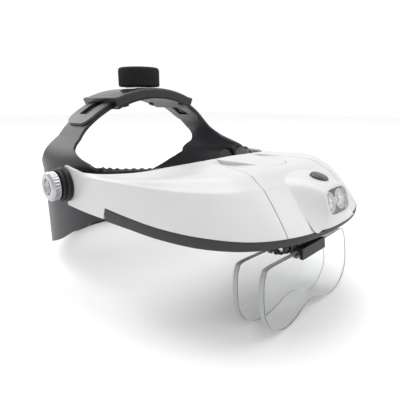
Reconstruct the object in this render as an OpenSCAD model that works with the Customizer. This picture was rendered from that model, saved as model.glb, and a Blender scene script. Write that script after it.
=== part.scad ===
// Head visor magnifier: a one-piece head band with a crown ratchet, a tilting
// visor with an LED lamp and a battery box, and a hinged bracket that holds two
// magnifying plates. Millimetres, +Z up, the wearer looks along -Y. The origin is
// on the floor under the middle of the object's box.

/* [Head band] */
// Half of the band's outside width over the temples
band_half_w = 86.3; // [80:0.1:92]
// Half of the band's outside length, brow to nape
band_half_l = 91.5; // [84:0.5:100]
// Wall of the moulded band
band_t = 2.2; // [1.6:0.1:3]
// Height of the band's top edge at the brow
brow_top = 88; // [84:0.5:94]
// Height of the band's lower edge at the brow
brow_low = 57; // [50:0.5:62]
// Height of the top edge at the nape
nape_top = 40; // [30:1:50]
// Thickness of the soft forehead pad
pad_t = 5; // [3:0.5:8]

/* [Crown] */
// Radius of the crown arc, to the middle of the inner strap
crown_r = 92; // [86:0.5:98]
// Width of the crown straps
strap_w = 35; // [28:0.5:40]
// Wall of the straps and their toothed tongues
strap_t = 1.8; // [1.4:0.1:2.4]
// Front-to-back width of the ratchet housing
housing_w = 48; // [44:0.5:56]
// Half of the arc that the housing covers, in degrees
housing_half = 24.7; // [22:0.1:28]
// Wall of the housing's cover
cover_t = 2.7; // [2:0.1:3.5]
// Diameter of the ratchet knob
knob_d = 35; // [28:0.5:42]
// Height of the ratchet knob
knob_h = 15.7; // [12:0.1:20]
// Teeth on the ratchet pinion
pinion_teeth = 10; // [10:1:10]

/* [Pivots] */
// Height of the visor's pivot axis
pivot_z = 76; // [70:0.5:80]
// Diameter of the metal side knobs
side_knob_d = 20; // [16:0.5:26]
// Thickness of the metal side knobs
side_knob_h = 6; // [4:0.5:9]
// Diameter of the larger black spacer disc
disc_d = 24; // [20:0.5:28]
// Diameter of the pivot bolt
bolt_d = 5; // [4:0.5:6]

/* [Visor] */
// Wall of the visor mouldings
shell_t = 2.2; // [1.6:0.1:2.8]
// Wall of the dark lower trim
trim_t = 2.6; // [2:0.1:3.5]
// Height of the dark lower trim at its rear ends
trim_h = 9; // [7.5:0.5:10]
// Diameter of one battery cell
cell_d = 10.5; // [10:0.1:11]
// Length of one battery cell
cell_l = 44.5; // [43:0.1:45]
// Width of the lamp window
window_w = 22; // [16:0.5:24]
// Height of the lamp window
window_h = 14; // [10:0.5:15]

/* [Magnifying plates] */
// Thickness of a plate
lens_t = 4; // [2.5:0.1:5]
// Distance between the front faces of the two plates
lens_pitch = 18; // [14:0.5:20]
// Forward lean of the plates, in degrees
lens_lean = 7; // [0:0.5:10]

/* [Hidden] */
$fn = 64;
eps = 0.01;
gap = 0.3;          // clearance between curved neighbours
run = 0.06;         // radial clearance of a running fit

black = "#1c1c1e";
charcoal = "#3a3a3e";
white = "#ececec";
steel = "#b8bcc0";
clear = [0.85, 0.9, 0.92, 0.4];

// ---- Curves -----------------------------------------------------------------
// Point at parameter s (0 .. n) on the smooth curve through the points p.
function curve(p, s) =
    let (n = len(p) - 1, i = min(floor(s), n - 1), t = s - i,
         a = p[max(i - 1, 0)], b = p[i], c = p[i + 1], d = p[min(i + 2, n)])
    0.5 * (2 * b + (c - a) * t + (2 * a - 5 * b + 4 * c - d) * t * t
           + (3 * b - 3 * c + d - a) * t * t * t);
function lerp(a, b, t) = a + (b - a) * t;
function spow(v, e) = sign(v) * pow(abs(v), e);
function smooth(a, b, v) = let (t = max(0, min(1, (v - a) / (b - a)))) t * t * (3 - 2 * t);

// Closed solid through a list of equal-length loops; a ring joins last to first. An end
// cap is a strip between the two halves of its loop.
module skin(loops, ring = false) {
    n = len(loops[0]);
    m = len(loops);
    spans = ring ? m : m - 1;
    sides = [for (i = [0 : spans - 1], j = [0 : n - 1])
        let (a = i * n + j, b = i * n + (j + 1) % n,
             c = ((i + 1) % m) * n + (j + 1) % n, d = ((i + 1) % m) * n + j)
        each [[a, b, c], [a, c, d]]];
    strip = [for (j = [0 : floor(n / 2) - 1]) let (k = n - 1 - j)
        each [if (k > j + 1) [j, j + 1, k], if (k - 1 > j + 1) [j + 1, k - 1, k]]];
    last = (m - 1) * n;
    caps = ring ? [] : concat([for (f = strip) [f[0], f[2], f[1]]],
        [for (f = strip) [last + f[0], last + f[1], last + f[2]]]);
    polyhedron([for (l = loops) each l], concat(sides, caps), convexity = 10);
}
module on_both_sides() {
    children();
    mirror([1, 0, 0]) children();
}
// Turns a shape drawn along +Z so that it points to +X.
module along_x() { rotate([0, 90, 0]) children(); }

// ---- Head band --------------------------------------------------------------
band_cy = 43.5;                        // middle of the band's plan outline
brow_y = band_cy - band_half_l;
nape_y = band_cy + band_half_l;
crown_y = 53;                          // middle of the crown straps, front to back
crown_z = 43.1;                        // height of the crown arc's centre
square_front = 2.3;                    // squareness of the band's front half

function band_n(y) = y < band_cy ? square_front : 2;
function band_x(y, off = 0) = let (n = band_n(y))
    (band_half_w + off) * pow(max(0, 1 - pow(abs(y - band_cy) / (band_half_l + off), n)), 1 / n);
function band_pt(t, off = 0) = let (n = cos(t) > 0 ? square_front : 2)
    [(band_half_w + off) * spow(sin(t), 2 / n), band_cy - (band_half_l + off) * spow(cos(t), 2 / n)];
// Heights of the band's edges along its length, as curves over y.
top_run = [[brow_y, brow_top], [-30, brow_top], [-8, 86.5], [20, 84], [60, 80.5], [78, 79],
    [90, 72], [106, 60], [nape_y - 11, nape_top + 7], [nape_y, nape_top]];
low_run = [[brow_y, brow_low], [-30, 57.5], [-10, 54.5], [10, 46], [50, 26], [90, 12],
    [110, 6], [nape_y - 11, 1.5], [nape_y, 0]];
function seek(p, y, i = 0) = (i >= len(p) - 2 || y <= p[i + 1][0]) ? i : seek(p, y, i + 1);
function height(p, y) = let (i = seek(p, y), t = (y - p[i][0]) / (p[i + 1][0] - p[i][0]))
    curve(p, i + max(0, min(1, t)))[1];

// Side of the head above the temples: [x, z] from the band's root to the crown arc.
side_run = [[band_half_w - band_t / 2, 80], [83.4, 89], [79.8, 95.8], [75.1, 101.0],
    [70.0, 105.2]];
function strap_front(z) = height([[70, -8], [82, -6], [90, 2], [93.5, 14], [98, 27], [104, 34],
    [112, 36.5], [125, crown_y - strap_w / 2]], z);
function strap_rear(z) = height([[70, 92], [79, 84], [86, 74.5], [96, 68.6], [104, 67.6],
    [112, 68.8], [125, crown_y + strap_w / 2]], z);

// One station of a strap: a strip across y that follows the band's plan low down. The
// first stations start on the band's top edge, whose weight is seat (1 on the edge).
function strap_row(x, z, out, seat, lean, n = 12) =
    let (y0 = strap_front(z), y1 = strap_rear(z), soft = 1 - smooth(76, 104, z))
    [for (k = [0 : n]) let (y = lerp(y0, y1, k / n),
        dx = soft * (band_x(y, -band_t / 2) - band_x(band_cy, -band_t / 2)),
        zz = seat > 0 ? lerp(side_run[1][1], height(top_run, y) + 0.05, seat) : z)
        [x + dx + out * lean[0], y, zz + out * lean[1] * (1 - seat)]];
function reversed(l) = [for (i = [len(l) - 1 : -1 : 0]) l[i]];

// The fixed strap: side run, then the crown arc at radius r, to the angle end_a.
module strap(r, end_a) {
    steps = 3;
    last = len(side_run) - 1;
    low = [for (i = [0 : steps * last]) let (s = i / steps, p = curve(side_run, s),
        q = curve(side_run, min(s + 0.1, last)), o = curve(side_run, max(s - 0.1, 0)),
        d = (q - o) / norm(q - o)) [p[0], p[1], [d[1], -d[0]], max(0, 1 - s)]];
    arc_start = atan2(side_run[last][0], side_run[last][1] - crown_z);
    shift = r - norm([side_run[last][0], side_run[last][1] - crown_z]);
    arc = [for (i = [1 : 7]) let (a = lerp(arc_start, end_a, i / 7))
        [r * sin(a), crown_z + r * cos(a), [sin(a), cos(a)], 0]];
    n = len(low);
    stations = concat([for (i = [0 : n - 1]) let (s = low[i], k = shift * smooth(n * 0.4, n - 1, i))
        [s[0] + k * s[2][0], s[1] + k * s[2][1], s[2], s[3]]], arc);
    skin([for (s = stations)
        concat(strap_row(s[0], s[1], -strap_t / 2, s[3], s[2]),
            reversed(strap_row(s[0], s[1], strap_t / 2, s[3], s[2])))]);
}
layer_step = strap_t + gap;            // from the inner strap to the outer one
outer_r = crown_r + layer_step;
tongue_start = 15;                     // hidden end of a tongue, degrees past the top
tongue_end = 41.5;                     // free end of a tongue
turn_limit = 7;                        // travel of a tongue each way
strap_end = tongue_start + turn_limit + 0.9;

module headband() {
    color(black) difference() {
        skin([for (i = [0 : 71]) let (t = i * 5 + 2.5, p = band_pt(t), q = band_pt(t, -band_t),
            hi = height(top_run, p[1]), lo = height(low_run, p[1]))
            [[p[0], p[1], lo], [p[0], p[1], hi], [q[0], q[1], hi], [q[0], q[1], lo]]],
            ring = true);
        for (s = [-1, 1]) translate([s * band_half_w, pivot_y, pivot_z]) along_x()
            cylinder(r = bush_r + run, h = 30, center = true);
    }
}
// The crown straps grow out of the band's top edge: one moulding with it.
module crown_strap_left() { color(black) strap(outer_r, strap_end); }
module crown_strap_right() { color(black) mirror([1, 0, 0]) strap(crown_r, strap_end); }

// Soft ribbed strip inside the brow.
pad_low = 62;
pad_span = 70;
module forehead_pad() {
    color(charcoal) skin([for (i = [0 : 38]) let (t = lerp(-pad_span, pad_span, i / 38),
        end = smooth(0, 6, min(i, 38 - i)), in = lerp(1.2, pad_t, end),
        p = band_pt(t, -band_t - gap), q = band_pt(t, -band_t - gap - in),
        hi = brow_top - 1 + end * (1.2 + 0.8 * (i % 2)), lo = pad_low)
        [[p[0], p[1], lo], [p[0], p[1], hi], [q[0], q[1], hi - 2], [q[0], q[1], lo + 2]]]);
}

// ---- Crown ratchet ----------------------------------------------------------
base_t = 1.2;
base_r = crown_r - strap_t / 2 - gap - base_t;
roof_r = outer_r + strap_t / 2 + gap;
housing_r = roof_r + cover_t;
knob_neck = 1.2;                       // knob's clearance above the housing
shaft_r = 4;
pin_r = 2;

// Part of a tube round the crown arc's axis: radii r0 .. r1, width w, angles a0 .. a1
// measured from the top towards +X.
module arc_bar(r0, r1, w, a0, a1, y = 0) {
    translate([0, crown_y + y, crown_z]) rotate([90, 0, 0]) rotate([0, 0, 90 - a1])
        rotate_extrude(angle = a1 - a0, $fn = 96)
            translate([r0, -w / 2]) square([r1 - r0, w]);
}
// Puts a shape that points up +Z at angle a on the crown arc.
module at_crown(a, r = 0) {
    translate([0, crown_y, crown_z]) rotate([0, a, 0]) translate([0, 0, r]) children();
}

module housing_cover() {
    color(charcoal) difference() {
        union() {
            arc_bar(base_r + base_t, housing_r, housing_w, -housing_half, housing_half);
            for (s = [-1, 1]) arc_bar(housing_r - 0.6, housing_r + 0.8, housing_w - 0.4,
                s * (housing_half - 0.8) - 0.6, s * (housing_half - 0.8) + 0.6);
        }
        arc_bar(base_r, roof_r, strap_w + 1, -40, 40);
        at_crown(0, base_r) cylinder(r = shaft_r + run, h = 20);
        for (s = [-1, 1]) at_crown(s * screw_angle, base_r) for (t = [-1, 1])
            translate([0, t * screw_y, 0]) cylinder(r = 1.5, h = 6.5);
    }
}
screw_angle = 19;
screw_y = housing_w / 2 - 3;
module housing_base() {
    color(charcoal) difference() {
        arc_bar(base_r, base_r + base_t - 0.02, housing_w, -housing_half, housing_half);
        at_crown(0, base_r - 1) cylinder(r = pin_r + run, h = 5);
        for (s = [-1, 1]) at_crown(s * screw_angle, base_r - 1) for (t = [-1, 1])
            translate([0, t * screw_y, 0]) cylinder(r = 1.5 + eps, h = 5);
    }
}
module housing_screws() {
    color(steel) for (s = [-1, 1]) at_crown(s * screw_angle, base_r - 1.1)
        for (t = [-1, 1]) translate([0, t * screw_y, 0]) difference() {
            union() {
                cylinder(r = 2.4, h = 1.0);
                cylinder(r = 1.5 - eps, h = 7);
            }
            translate([-2, -0.3, -eps]) cube([4, 0.6, 0.5]);
        }
}
knob_low = crown_z + housing_r + knob_neck;
module ratchet_knob() {
    color(black) translate([0, crown_y, knob_low]) difference() {
        union() {
            rotate_extrude($fn = 96) polygon([[0, 0], [knob_d / 2 - 1.6, 0], [knob_d / 2, 1.6],
                [knob_d / 2, knob_h - 2.2], [knob_d / 2 - 0.7, knob_h - 0.7],
                [knob_d / 2 - 2.2, knob_h], [0, knob_h]]);
            translate([0, 0, -knob_neck + gap]) cylinder(r = 9, h = knob_neck);
        }
        for (a = [0 : 12 : 348]) rotate([0, 0, a]) translate([knob_d / 2 + 0.5, 0, 2])
            cylinder(r = 1, h = knob_h - 4.5, $fn = 24);
        translate([0, 0, -3]) cylinder(r = shaft_r, h = 7.5);
        translate([0, 0, -3]) cylinder(r = 1.5, h = knob_h);
        translate([0, 0, knob_h - 5]) cylinder(r = 4, h = 6);
    }
}
pinion_r = 5;                          // pitch radius: one millimetre module
tooth_deep = 1;
tooth_pitch = 2 * PI * pinion_r / pinion_teeth;
pinion_low = crown_z + crown_r - strap_t / 2 + 0.1;
pinion_h = outer_r - crown_r + strap_t - 0.2;
module ratchet_pinion() {
    color(steel) translate([0, crown_y, pinion_low]) difference() {
        union() {
            cylinder(r = pinion_r - tooth_deep - 0.25, h = pinion_h);
            for (i = [0 : pinion_teeth - 1]) rotate([0, 0, i * 360 / pinion_teeth - 90])
                linear_extrude(pinion_h) polygon([[2, -1.15], [pinion_r - 1, -0.95],
                    [pinion_r, -0.6], [pinion_r + 0.85, -0.22], [pinion_r + 0.85, 0.22],
                    [pinion_r, 0.6], [pinion_r - 1, 0.95], [2, 1.15]]);
            cylinder(r = shaft_r, h = knob_low + 4.3 - pinion_low);
            translate([0, 0, -1.4]) cylinder(r = pin_r, h = 2);
        }
        translate([0, 0, pinion_h + 1]) cylinder(r = 1.2, h = 30);
    }
}
module knob_screw() {
    color(steel) translate([0, crown_y, knob_low + knob_h - 5 + eps]) difference() {
        union() {
            cylinder(r = 2.8, h = 2);
            translate([0, 0, -11]) cylinder(r = 1.2 - eps, h = 12);
        }
        for (a = [0, 90]) rotate([0, 0, a]) translate([-1.7, -0.35, 1.2]) cube([3.4, 0.7, 1]);
    }
}
// Leaf that clicks on the knob's underside, seated on the housing roof.
module detent_spring() {
    color(steel) translate([0, crown_y, crown_z + housing_r + 0.02]) difference() {
        cylinder(r = 12.5, h = 0.6);
        translate([0, 0, -1]) cylinder(r = 10, h = 3);
        translate([-20, 4, -1]) cube([40, 20, 3]);
        translate([-20, -30, -1]) cube([40, 19.4, 3]);
    }
}

// A tongue with a toothed slot. Teeth stand on the edge at -y for dir = -1.
module rack_tongue(r, dir) {
    r0 = r - strap_t / 2;
    r1 = r + strap_t / 2;
    step = tooth_pitch / r * 180 / PI;
    wide = strap_w - 2;
    slot_free = pinion_r + tooth_deep + 0.7;
    slot_root = pinion_r + tooth_deep + 0.1;
    slot_w = slot_free + slot_root;
    tip = r * sin(tongue_end - 25);
    corner = 9;
    color(charcoal) union() {
        difference() {
            intersection() {
                arc_bar(r0, r1, wide, -tongue_start, tongue_end + 3);
                at_crown(25, r0 - 40) linear_extrude(60) polygon(concat([[-80, -wide], [-80, wide],
                    [tip - corner - 3, wide / 2 + 0.3]],
                    [for (a = [15 : 15 : 90]) [tip - corner + corner * sin(a),
                        wide / 2 - corner + corner * cos(a)]],
                    [for (a = [90 : -15 : 15]) [tip - corner + corner * sin(a),
                        corner - wide / 2 - corner * cos(a)]],
                    [[tip - corner - 3, -wide / 2 - 0.3]]));
            }
            arc_bar(r0 - 1, r1 + 1, slot_w, -tongue_start + 3.4, tongue_end - 6.5,
                y = -dir * (slot_free - slot_root) / 2);
        }
        for (i = [-4 : 15]) at_crown((i + 0.5) * step, r0 + 0.15)
            linear_extrude(strap_t - 0.3) polygon([for (p = [[-0.85, slot_root + 0.6],
                [-0.85, slot_root], [-0.3, pinion_r - 0.75], [0.3, pinion_r - 0.75],
                [0.85, slot_root], [0.85, slot_root + 0.6]]) [p[0], dir * p[1]]]);
    }
}
module rack_tongue_left() { mirror([1, 0, 0]) rack_tongue(outer_r, -1); }
module rack_tongue_right() { rack_tongue(crown_r, 1); }

// ---- Pivots -----------------------------------------------------------------
pivot_y = 20;
bush_in = 80.2 - 86.3 + band_half_w;   // inner end of the bush, clear of the band's curve
arm_in = band_half_w + gap;
arm_t = 2.8;
arm_out = arm_in + arm_t;
bush_r = 6;
bush_t = 3.7;
washer_t = 2.8;
disc_out = arm_out + gap + bush_t;
washer_out = disc_out + washer_t;
side_knob_in = washer_out + gap;
bolt_head_d = 16;
bolt_tip = side_knob_in + side_knob_h - 2.4;

module pivot_bolts() {
    color(steel) on_both_sides() translate([bush_in - 2, pivot_y, pivot_z]) along_x() {
        cylinder(d = bolt_head_d, h = 2);
        cylinder(d = bolt_d, h = bolt_tip - bush_in + 2);
    }
}
// Flanged bush: the visor's arm turns on its sleeve, the flange is the larger disc.
module pivot_bushes() {
    color(black) on_both_sides() translate([bush_in, pivot_y, pivot_z]) along_x() difference() {
        union() {
            cylinder(r = bush_r, h = disc_out - bush_in);
            translate([0, 0, arm_out + gap - bush_in]) rotate_extrude() polygon([[0, 0],
                [disc_d / 2 - 0.4, 0], [disc_d / 2, 0.5], [disc_d / 2, bush_t - 1.1],
                [disc_d / 2 - 1.1, bush_t], [0, bush_t]]);
        }
        translate([0, 0, -1]) cylinder(d = bolt_d + 2 * run, h = 20);
    }
}
module pivot_washers() {
    color(black) on_both_sides() translate([disc_out, pivot_y, pivot_z]) along_x() difference() {
        rotate_extrude() polygon([[0, 0], [disc_d / 2 - 1.9, 0], [disc_d / 2 - 0.6, 0.9],
            [disc_d / 2 - 0.6, washer_t - 0.7], [disc_d / 2 - 1.3, washer_t], [0, washer_t]]);
        translate([0, 0, -1]) cylinder(d = bolt_d + 2 * run, h = 20);
    }
}
// Clamp nut with eight flats, a chamfered rim and a recessed centre.
module side_knob() {
    translate([side_knob_in, pivot_y, pivot_z]) along_x() difference() {
        rotate_extrude() polygon([[0, 0], [side_knob_d / 2 - 0.6, 0], [side_knob_d / 2, 0.6],
            [side_knob_d / 2, side_knob_h - 1.6], [side_knob_d / 2 - 1.8, side_knob_h],
            [0, side_knob_h]]);
        for (a = [0 : 45 : 315]) rotate([0, 0, a]) translate([side_knob_d / 2 + 3.4, 0, -1])
            cylinder(r = 4, h = side_knob_h + 2, $fn = 32);
        translate([0, 0, side_knob_h - 1.6]) cylinder(r = 5.4, h = 3);
        translate([0, 0, -1]) cylinder(d = bolt_d + 2 * run, h = 20);
    }
}
module side_knob_left() { color(steel) side_knob(); }
module side_knob_right() { color(steel) mirror([1, 0, 0]) side_knob(); }

// ---- Visor ------------------------------------------------------------------
// Half outlines from the arm's end to the middle of the brow: foot of the wall,
// shoulder between wall and top, and the top's inner edge.
arm_low = pivot_z - 14.8;
trim_low = 59.3;
wall_low = trim_low + trim_h;
front_low = 62.2;                      // the wall's foot sinks towards the middle of the brow
foot_run = [[arm_out, pivot_y, wall_low], [89.2, 2, wall_low], [87.9, -18, wall_low],
    [86.2, -46, front_low + 4.5], [83.6, -73, front_low + 3.5], [76, -98, front_low + 2.9],
    [60, -117.5, front_low + 1.7], [33, -128.8, front_low + 0.6], [0, -132, front_low]];
shoulder_run = [[arm_out, pivot_y, 84], [arm_out, 2, 84.5], [88.6, -18, 85],
    [85.2, -42, 85.3], [80, -66, 85.3], [69, -88, 85.3], [52, -102, 85.3], [27, -108.5, 85.3],
    [0, -110, 85.3]];
edge_run = [[arm_in + arm_t - 0.4, pivot_y, 88.8], [89.4, 4, 87.3], [86, -11, 87],
    [77, -23.5, 87.3], [64, -32.5, 88], [48, -41, 90.2], [32, -47, 91.8], [16, -51, 93],
    [0, -52, 93.5]];
crown_lift = 5.6;                      // how far the top bulges over a straight line
// Behind the notch the wall runs down past the trim's top edge, to the arm's lower edge.
notch = 2.25;
function foot_at(s) = let (f = curve(foot_all, s), v = min(s, 16 - s))
    [f[0], f[1], lerp(arm_low - 0.8 * smooth(0, 2, v), f[2], smooth(notch - 0.07, notch, v))];
function mirrored(p) = [-p[0], p[1], p[2]];
function whole(p) = let (n = len(p) - 1) concat(p, [for (i = [n - 1 : -1 : 0]) mirrored(p[i])]);
foot_all = whole(foot_run);
shoulder_all = whole(shoulder_run);
edge_all = whole(edge_run);

shell_mid = [0, -40, 0];               // middle of the visor, which its walls face
// Cross-section of the shell at parameter s: outer points, then the inner ones back.
function inward(p, q, d) = let (v = [q[0] - p[0], q[1] - p[1], 0], l = norm(v))
    l < 0.001 ? [0, 0, 0] : v / l * d;
function shell_loop(s, t) =
    let (f = foot_at(s), c = curve(shoulder_all, s), e = curve(edge_all, s),
         wide = norm([e[0] - c[0], e[1] - c[1]]), lift = crown_lift * smooth(3, 60, wide),
         m = lerp(f, c, 0.5) + inward(c, f, 0.05 * norm(c - f)),
         r1 = lerp(c, e, 0.2) + [0, 0, lift * 0.8], r2 = lerp(c, e, 0.55) + [0, 0, lift * 0.55],
         side = s <= 2 || s >= 14 ? [-sign(f[0]), 0, 0]
             : inward(f, shell_mid, 1),
         k = smooth(3, 30, wide), down = [0, 0, -t],
         over = lerp(side * t * 0.95, down, k), mid = lerp(side * t, side * t * 0.7 + down * 0.8, k))
    [f, m, c, r1, r2, e, e + over, r2 + lerp(over, down, k), r1 + lerp(over, down, k),
     c + mid, m + side * t, f + side * t];
stations = [for (i = [0 : 64]) each [i / 4, if (i == 8) notch - 0.07,
    if (i == 55) 16 - notch + 0.07]];
module shell_solid(t = shell_t) {
    skin([for (s = stations) reversed(shell_loop(s, t))]);
}
// Plan outline of the separate front cover, grown by g.
module cover_plan(g) {
    linear_extrude(200) polygon([[-22 - g, -30], [22 + g, -30], [46 + g, -140], [-46 - g, -140]]);
}
door_front = -93;
door_arc = 17.8;                       // radius of the door's round front
module door_plan(g) {
    linear_extrude(200) polygon(concat([[-17.5 - g, -40], [17.5 + g, -40]],
        [for (a = [52 : -8 : -52]) [(door_arc + g) * sin(a),
            door_front + door_arc - (door_arc + g) * cos(a)]]));
}
ledge_h = 1.6;
ledge_w = 4;
// Ledge behind the front cover that joins the two sides of the shell.
module front_ledge() {
    ends = [5.8, 10.2];
    skin([for (s = stations) if (s >= ends[0] - 0.2 && s <= ends[1] + 0.2)
        let (p = curve(foot_all, s), q = inward(p, shell_mid, 1), up = [0, 0, ledge_h],
             d = lerp(0.9, shell_t + 3.5, smooth(0, 0.6, min(s - ends[0], ends[1] - s))),
             a = p + q * d, b = a + q * ledge_w)
        [a, b, b + up, a + up]]);
}
module shell_sides() {
    difference() {
        shell_solid();
        cover_plan(0);
    }
    front_ledge();
}
module visor_shell() {
    color(white) difference() {
        union() {
            shell_sides();
            on_both_sides() translate([arm_in, pivot_y, pivot_z]) along_x()
                cylinder(r = 14.8, h = arm_t);
        }
        on_both_sides() translate([arm_in - 5, pivot_y, pivot_z]) along_x()
            cylinder(r = bush_r + run, h = 12);
    }
}
// Dark strip under the wall, from the notch behind one cheek round to the other.
module lower_trim() {
    color(charcoal) skin([for (s = stations) if (s >= notch && s <= 16 - notch)
        let (p = curve(foot_all, s), q = inward(p, shell_mid, 1), hi = p[2] - 0.02,
             low = trim_low, a = p - q * 0.4, b = p + q * (trim_t - 0.4))
        [[a[0], a[1], low], [b[0], b[1], low], [b[0], b[1], hi], [a[0], a[1], hi]]]);
}

// Lamp nose on the middle of the front cover, as levels from the lip to the top.
nose_low = front_low + 0.5;
nose = [[nose_low, 24, -135], [66, 24, -134.9], [70, 24, -134.2], [74, 21.5, -132.6], [79, 18.5, -130.9],
    [83, 15.5, -128.6], [86, 12.5, -125], [88.3, 9.5, -120.5]];
function nose_back(z) = z > 85 ? lerp(-107.5, -103, (z - 85) / 3.3)
    : lerp(-127, -107.5, (z - front_low) / (85 - front_low));
function nose_loop(l, g) = let (w = l[1] - g, f = l[2] + g, b = nose_back(l[0]) + 2.5 * g)
    [for (a = [0 : 15 : 180]) [w * spow(cos(a), 0.75), b + (f - b) * spow(sin(a), 0.75), l[0]]];
module nose_solid(g) {
    skin([for (l = nose) nose_loop([l[0] - g * smooth(75, 88, l[0]) * 1.2, l[1], l[2]], g)]);
}
lamp_lean = 19;
lamp_y = -130.6;
lamp_z = 76.2;
// Frame on the nose's front face: local -Y points out of the lamp.
module at_lamp() { translate([0, lamp_y, lamp_z]) rotate([-lamp_lean, 0, 0]) children(); }
module pill(w, h, t, r) {
    rotate([90, 0, 0]) linear_extrude(t) hull_free_round(w, h, r);
}
// Rounded rectangle made of true circles and squares.
module hull_free_round(w, h, r) {
    square([w - 2 * r, h], center = true);
    square([w, h - 2 * r], center = true);
    for (x = [-1, 1], y = [-1, 1]) translate([x * (w / 2 - r), y * (h / 2 - r)]) circle(r = r);
}
button_y = -119;
button_z = 88.6;
button_lean = 19;
module at_button() {
    translate([0, button_y, button_z]) rotate([button_lean, 0, 0]) children();
}
button_rx = 5.6;
flange_t = 1.4;                        // width of the button's flange
module front_cover() {
    color(white) difference() {
        union() {
            intersection() {
                shell_solid();
                cover_plan(-gap);
            }
            nose_solid(0);
        }
        translate([0, 0, -eps]) nose_solid(shell_t);
        door_plan(0);
        at_lamp() translate([0, 5, 0]) pill(window_w + 4, window_h + 3, 12, 5);
        at_button() {
            translate([0, 0, -6]) cylinder(r = button_rx + gap, h = 12);
            translate([0, 0, -9]) cylinder(r = button_rx + flange_t + gap, h = 6.5);
        }
    }
}
module battery_cover() {
    color(white) intersection() {
        shell_solid(1.8);
        door_plan(-gap);
    }
}

// ---- Inside the visor -------------------------------------------------------
plate_t = 1.6;
plate_z = 67.4;
module underplate() {
    color(charcoal) difference() {
        translate([0, 0, plate_z]) linear_extrude(plate_t) polygon([[-40, -55], [40, -55],
            [50, -90], [46, -108], [30, -117], [12, -120], [-12, -120], [-30, -117], [-46, -108],
            [-50, -90]]);
        for (x = [-1, 1], y = screw_rows) translate([x * 34, y, plate_z - 1])
            cylinder(r = 1.5 + eps, h = 5);
    }
}
screw_rows = [-66, -106];
module visor_screws() {
    color(steel) for (x = [-1, 1], y = screw_rows) translate([x * 34, y, plate_z - 1.4])
        difference() {
            union() {
                cylinder(r = 2.8, h = 1.4);
                cylinder(r = 1.5, h = 9);
            }
            for (a = [0, 90]) rotate([0, 0, a]) translate([-1.8, -0.35, -eps])
                cube([3.6, 0.7, 0.8]);
        }
}
cell_z = 81.6;
cell_x = cell_d + 0.6;
cell_rear = -54.4;
tray_t = 1.2;
tray_low = cell_z - cell_d / 2 - gap - tray_t;
tray_front = cell_rear - cell_l - 3.9;
module battery_tray() {
    w = 3 * cell_x + 0.6;
    color(charcoal) difference() {
        translate([-w / 2 - tray_t, tray_front - tray_t, tray_low])
            cube([w + 2 * tray_t, cell_rear + 0.7 - tray_front + 2 * tray_t, cell_d - 1]);
        translate([-w / 2, tray_front, tray_low + tray_t])
            cube([w, cell_rear + 0.7 - tray_front, 30]);
    }
    color(charcoal) for (x = [-1, 1], y = [-60, -96])
        translate([x * 12, y, plate_z + plate_t]) cylinder(r = 3, h = tray_low - plate_z - plate_t);
}
module batteries() {
    color(steel) for (i = [-1 : 1]) translate([i * cell_x, cell_rear, cell_z])
        rotate([90, 0, 0]) {
            translate([0, 0, i == 0 ? 0 : 0.8]) cylinder(d = cell_d, h = cell_l - 0.8);
            translate([0, 0, i == 0 ? cell_l - 0.9 : 0]) cylinder(r = 1.9, h = 0.9);
        }
}
module battery_contacts() {
    color(steel) for (i = [-1 : 1]) {
        translate([i * cell_x - 3.5, cell_rear + 0.3, cell_z - 4]) cube([7, 0.4, 8]);
        translate([i * cell_x - 3.5, tray_front, cell_z - 4]) cube([7, 0.4, 8]);
    }
}
module battery_springs() {
    color(steel) for (i = [-1 : 1]) translate([i * cell_x, tray_front + 0.4, cell_z])
        rotate([-90, 0, 0]) cylinder(r1 = 3.6, r2 = 2.6, h = 3.1);
}
module push_button() {
    color(black) at_button() translate([0, 0, -4]) {
        cylinder(r = button_rx, h = 4.9);
        cylinder(r = button_rx + flange_t, h = 1.2);
    }
}
module button_spring() {
    color(steel) at_button() translate([0, 0, -6.05]) difference() {
        cylinder(r = 3.2, h = 2.05);
        translate([0, 0, -1]) cylinder(r = 2.6, h = 5);
    }
}
module button_switch() {
    color(charcoal) at_button() translate([0, 0, -10.6]) {
        translate([-4, -4, 0]) cube([8, 8, 3.5]);
        cylinder(r = 1.6, h = 4.9);
    }
}
led_x = 6.2;
module led_board() {
    color("darkgreen") at_lamp() translate([-13, 9.4, -4.2]) cube([26, 1.2, 7.2]);
}
module leds() {
    color("lightyellow") at_lamp() for (s = [-1, 1]) translate([s * led_x, 9.38, 0])
        rotate([90, 0, 0]) {
            cylinder(r = 2.9, h = 1);
            cylinder(r = 2.5, h = 3.4);
            translate([0, 0, 3.4]) sphere(r = 2.5, $fn = 32);
        }
}
module reflectors() {
    color(steel) at_lamp() for (s = [-1, 1]) translate([s * led_x, 8.2, 0])
        rotate([90, 0, 0]) difference() {
            cylinder(r1 = 4.2, r2 = 5.9, h = 6.4);
            translate([0, 0, -0.1]) cylinder(r1 = 3.2, r2 = 5.3, h = 6.6);
        }
}
module lamp_window() {
    color(clear) at_lamp() translate([0, 1.4, 0]) pill(window_w + 1, window_h - 0.5, 1.4, 4.4);
}
module lamp_bezel() {
    color(white) at_lamp() translate([0, 1.4, 0]) difference() {
        pill(window_w + 3.4, window_h + 2.4, 2.4, 4.7);
        translate([0, 1, 0]) pill(window_w + 1 + 2 * eps, window_h - 0.5 + 2 * eps, 5, 4.4);
    }
}

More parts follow.
